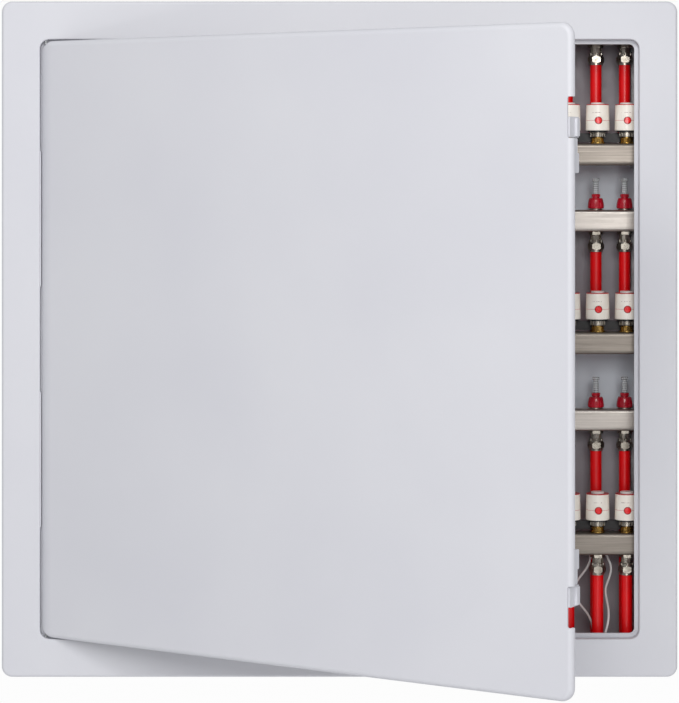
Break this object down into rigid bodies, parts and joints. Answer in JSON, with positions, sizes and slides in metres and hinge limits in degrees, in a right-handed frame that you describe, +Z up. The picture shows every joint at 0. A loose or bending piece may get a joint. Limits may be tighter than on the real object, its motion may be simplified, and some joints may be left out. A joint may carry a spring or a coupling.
{
  "type": "underfloor heating manifold",
  "caption": "Tiered underfloor heating manifold with flow meters and thermal actuators, in a flush wall cabinet behind a hinged plastic access door.",
  "frame": {"origin": "centre of the cabinet's back face, on the wall", "axes": "+X to the right along the headers, +Y into the wall, +Z up; the door faces -Y"},
  "size_m": [1.15, 0.675, 1.15],
  "materials": {
    "white_plastic": "fine texture",
    "galvanised_sheet": "satin",
    "dark_sheet": "satin",
    "plated_steel": "satin",
    "stainless_steel": "brushed along its length",
    "nickel_brass": "nickel plated, bright",
    "brass": "bright",
    "grey_plastic": "satin",
    "dark_plastic": "satin",
    "black_plastic": "satin",
    "actuator_white": "satin",
    "red_plastic": "gloss",
    "red_handle": "gloss",
    "blue_handle": "gloss",
    "red_pipe": "gloss",
    "clear_tube": "clear",
    "lead_white": "satin"
  },
  "bodies": {
    "cabinet_and_pipework": {"cabinet_box": "galvanised_sheet", "trim_frame": "white_plastic", "mounting_plates": "dark_sheet", "header_brackets": "plated_steel", "fixing_screws": "plated_steel", "wiring_centres": "grey_plastic", "cable_ducts": "dark_plastic", "flow_headers": "stainless_steel", "return_headers": "stainless_steel", "header_end_fittings": "nickel_brass", "risers": "stainless_steel", "main_valve_bodies": "nickel_brass", "flow_meter_bases": "nickel_brass", "lockshield_caps": "red_plastic", "sight_tubes": "clear_tube", "return_valve_bodies": "brass", "actuator_rings": "nickel_brass", "actuator_bases": "black_plastic", "actuator_shells": "actuator_white", "actuator_lenses": "red_plastic", "actuator_caps": "red_plastic", "actuator_cables": "lead_white", "outlet_adapters": "nickel_brass", "adapter_nuts": "nickel_brass", "flow_pipes": "red_pipe", "return_pipes": "red_pipe", "slack_lead_a": "lead_white", "slack_lead_b": "lead_white"},
    "door": {"door_panel": "white_plastic", "hinge_pins": "plated_steel"},
    "latch_upper": {"latch_tongue_upper": "white_plastic"},
    "latch_lower": {"latch_tongue_lower": "white_plastic"},
    "flow_main_valve": {"flow_valve_ball": "nickel_brass", "flow_valve_handle": "red_handle"},
    "return_main_valve": {"return_valve_ball": "nickel_brass", "return_valve_handle": "blue_handle"},
    "collar_middle_1": {"flow_collar_middle_1": "red_plastic"},
    "collar_middle_2": {"flow_collar_middle_2": "red_plastic"},
    "collar_middle_3": {"flow_collar_middle_3": "red_plastic"},
    "collar_middle_4": {"flow_collar_middle_4": "red_plastic"},
    "collar_middle_5": {"flow_collar_middle_5": "red_plastic"},
    "collar_middle_6": {"flow_collar_middle_6": "red_plastic"},
    "collar_middle_7": {"flow_collar_middle_7": "red_plastic"},
    "collar_middle_8": {"flow_collar_middle_8": "red_plastic"},
    "indicators_middle": {"flow_indicators_middle": "black_plastic"},
    "collar_lower_1": {"flow_collar_lower_1": "red_plastic"},
    "collar_lower_2": {"flow_collar_lower_2": "red_plastic"},
    "collar_lower_3": {"flow_collar_lower_3": "red_plastic"},
    "collar_lower_4": {"flow_collar_lower_4": "red_plastic"},
    "collar_lower_5": {"flow_collar_lower_5": "red_plastic"},
    "collar_lower_6": {"flow_collar_lower_6": "red_plastic"},
    "collar_lower_7": {"flow_collar_lower_7": "red_plastic"},
    "collar_lower_8": {"flow_collar_lower_8": "red_plastic"},
    "indicators_lower": {"flow_indicators_lower": "black_plastic"},
    "stems_upper": {"valve_stems_upper": "brass"},
    "displays_upper": {"actuator_displays_upper": "actuator_white"},
    "stems_middle": {"valve_stems_middle": "brass"},
    "displays_middle": {"actuator_displays_middle": "actuator_white"},
    "stems_lower": {"valve_stems_lower": "brass"},
    "displays_lower": {"actuator_displays_lower": "actuator_white"}
  },
  "joints": [
    {"name": "door_hinge", "type": "hinge", "parent": "cabinet_and_pipework", "child": "door", "pos_m": [-0.5005, -0.153, 0], "axis": [0, 0, -1], "range_deg": [-31, 69]},
    {"name": "latch_upper_slide", "type": "slide", "parent": "door", "child": "latch_upper", "axis": [-0.8572, 0.515, 0], "range_m": [0, 0.0045], "stiffness_N_per_m": 900, "springref_m": -0.003},
    {"name": "latch_lower_slide", "type": "slide", "parent": "door", "child": "latch_lower", "axis": [-0.8572, 0.515, 0], "range_m": [0, 0.0045], "stiffness_N_per_m": 900, "springref_m": -0.003},
    {"name": "flow_valve_turn", "type": "hinge", "parent": "cabinet_and_pipework", "child": "flow_main_valve", "pos_m": [0.034, -0.06, -0.478], "axis": [0, -1, 0], "range_deg": [0, 90]},
    {"name": "return_valve_turn", "type": "hinge", "parent": "cabinet_and_pipework", "child": "return_main_valve", "pos_m": [-0.036, -0.098, -0.478], "axis": [0, -1, 0], "range_deg": [0, 90]},
    {"name": "collar_middle_1_turn", "type": "hinge", "parent": "cabinet_and_pipework", "child": "collar_middle_1", "pos_m": [0.494, -0.06, 0.219], "axis": [0, 0, 1], "range_deg": [-180, 180]},
    {"name": "collar_middle_2_turn", "type": "hinge", "parent": "cabinet_and_pipework", "child": "collar_middle_2", "pos_m": [0.444, -0.06, 0.219], "axis": [0, 0, 1], "range_deg": [-180, 180]},
    {"name": "collar_middle_3_turn", "type": "hinge", "parent": "cabinet_and_pipework", "child": "collar_middle_3", "pos_m": [0.394, -0.06, 0.219], "axis": [0, 0, 1], "range_deg": [-180, 180]},
    {"name": "collar_middle_4_turn", "type": "hinge", "parent": "cabinet_and_pipework", "child": "collar_middle_4", "pos_m": [0.344, -0.06, 0.219], "axis": [0, 0, 1], "range_deg": [-180, 180]},
    {"name": "collar_middle_5_turn", "type": "hinge", "parent": "cabinet_and_pipework", "child": "collar_middle_5", "pos_m": [0.294, -0.06, 0.219], "axis": [0, 0, 1], "range_deg": [-180, 180]},
    {"name": "collar_middle_6_turn", "type": "hinge", "parent": "cabinet_and_pipework", "child": "collar_middle_6", "pos_m": [0.244, -0.06, 0.219], "axis": [0, 0, 1], "range_deg": [-180, 180]},
    {"name": "collar_middle_7_turn", "type": "hinge", "parent": "cabinet_and_pipework", "child": "collar_middle_7", "pos_m": [0.194, -0.06, 0.219], "axis": [0, 0, 1], "range_deg": [-180, 180]},
    {"name": "collar_middle_8_turn", "type": "hinge", "parent": "cabinet_and_pipework", "child": "collar_middle_8", "pos_m": [0.144, -0.06, 0.219], "axis": [0, 0, 1], "range_deg": [-180, 180]},
    {"name": "indicators_middle_slide", "type": "slide", "parent": "cabinet_and_pipework", "child": "indicators_middle", "axis": [0, 0, -1], "range_m": [0, 0.016], "stiffness_N_per_m": 60, "springref_m": -0.002},
    {"name": "collar_lower_1_turn", "type": "hinge", "parent": "cabinet_and_pipework", "child": "collar_lower_1", "pos_m": [0.494, -0.06, -0.127], "axis": [0, 0, 1], "range_deg": [-180, 180]},
    {"name": "collar_lower_2_turn", "type": "hinge", "parent": "cabinet_and_pipework", "child": "collar_lower_2", "pos_m": [0.444, -0.06, -0.127], "axis": [0, 0, 1], "range_deg": [-180, 180]},
    {"name": "collar_lower_3_turn", "type": "hinge", "parent": "cabinet_and_pipework", "child": "collar_lower_3", "pos_m": [0.394, -0.06, -0.127], "axis": [0, 0, 1], "range_deg": [-180, 180]},
    {"name": "collar_lower_4_turn", "type": "hinge", "parent": "cabinet_and_pipework", "child": "collar_lower_4", "pos_m": [0.344, -0.06, -0.127], "axis": [0, 0, 1], "range_deg": [-180, 180]},
    {"name": "collar_lower_5_turn", "type": "hinge", "parent": "cabinet_and_pipework", "child": "collar_lower_5", "pos_m": [0.294, -0.06, -0.127], "axis": [0, 0, 1], "range_deg": [-180, 180]},
    {"name": "collar_lower_6_turn", "type": "hinge", "parent": "cabinet_and_pipework", "child": "collar_lower_6", "pos_m": [0.244, -0.06, -0.127], "axis": [0, 0, 1], "range_deg": [-180, 180]},
    {"name": "collar_lower_7_turn", "type": "hinge", "parent": "cabinet_and_pipework", "child": "collar_lower_7", "pos_m": [0.194, -0.06, -0.127], "axis": [0, 0, 1], "range_deg": [-180, 180]},
    {"name": "collar_lower_8_turn", "type": "hinge", "parent": "cabinet_and_pipework", "child": "collar_lower_8", "pos_m": [0.144, -0.06, -0.127], "axis": [0, 0, 1], "range_deg": [-180, 180]},
    {"name": "indicators_lower_slide", "type": "slide", "parent": "cabinet_and_pipework", "child": "indicators_lower", "axis": [0, 0, -1], "range_m": [0, 0.016], "stiffness_N_per_m": 60, "springref_m": -0.002},
    {"name": "stems_upper_slide", "type": "slide", "parent": "cabinet_and_pipework", "child": "stems_upper", "axis": [0, 0, 1], "range_m": [0, 0.0035], "stiffness_N_per_m": 3000, "springref_m": -0.002},
    {"name": "displays_upper_slide", "type": "slide", "parent": "cabinet_and_pipework", "child": "displays_upper", "axis": [0, 0, 1], "range_m": [0, 0.0035]},
    {"name": "stems_middle_slide", "type": "slide", "parent": "cabinet_and_pipework", "child": "stems_middle", "axis": [0, 0, 1], "range_m": [0, 0.0035], "stiffness_N_per_m": 3000, "springref_m": -0.002},
    {"name": "displays_middle_slide", "type": "slide", "parent": "cabinet_and_pipework", "child": "displays_middle", "axis": [0, 0, 1], "range_m": [0, 0.0035]},
    {"name": "stems_lower_slide", "type": "slide", "parent": "cabinet_and_pipework", "child": "stems_lower", "axis": [0, 0, 1], "range_m": [0, 0.0035], "stiffness_N_per_m": 3000, "springref_m": -0.002},
    {"name": "displays_lower_slide", "type": "slide", "parent": "cabinet_and_pipework", "child": "displays_lower", "axis": [0, 0, 1], "range_m": [0, 0.0035]}
  ],
  "couplings": [
    {"joint": "displays_upper_slide", "follows": "stems_upper_slide", "ratio": 1},
    {"joint": "displays_middle_slide", "follows": "stems_middle_slide", "ratio": 1},
    {"joint": "displays_lower_slide", "follows": "stems_lower_slide", "ratio": 1}
  ]
}
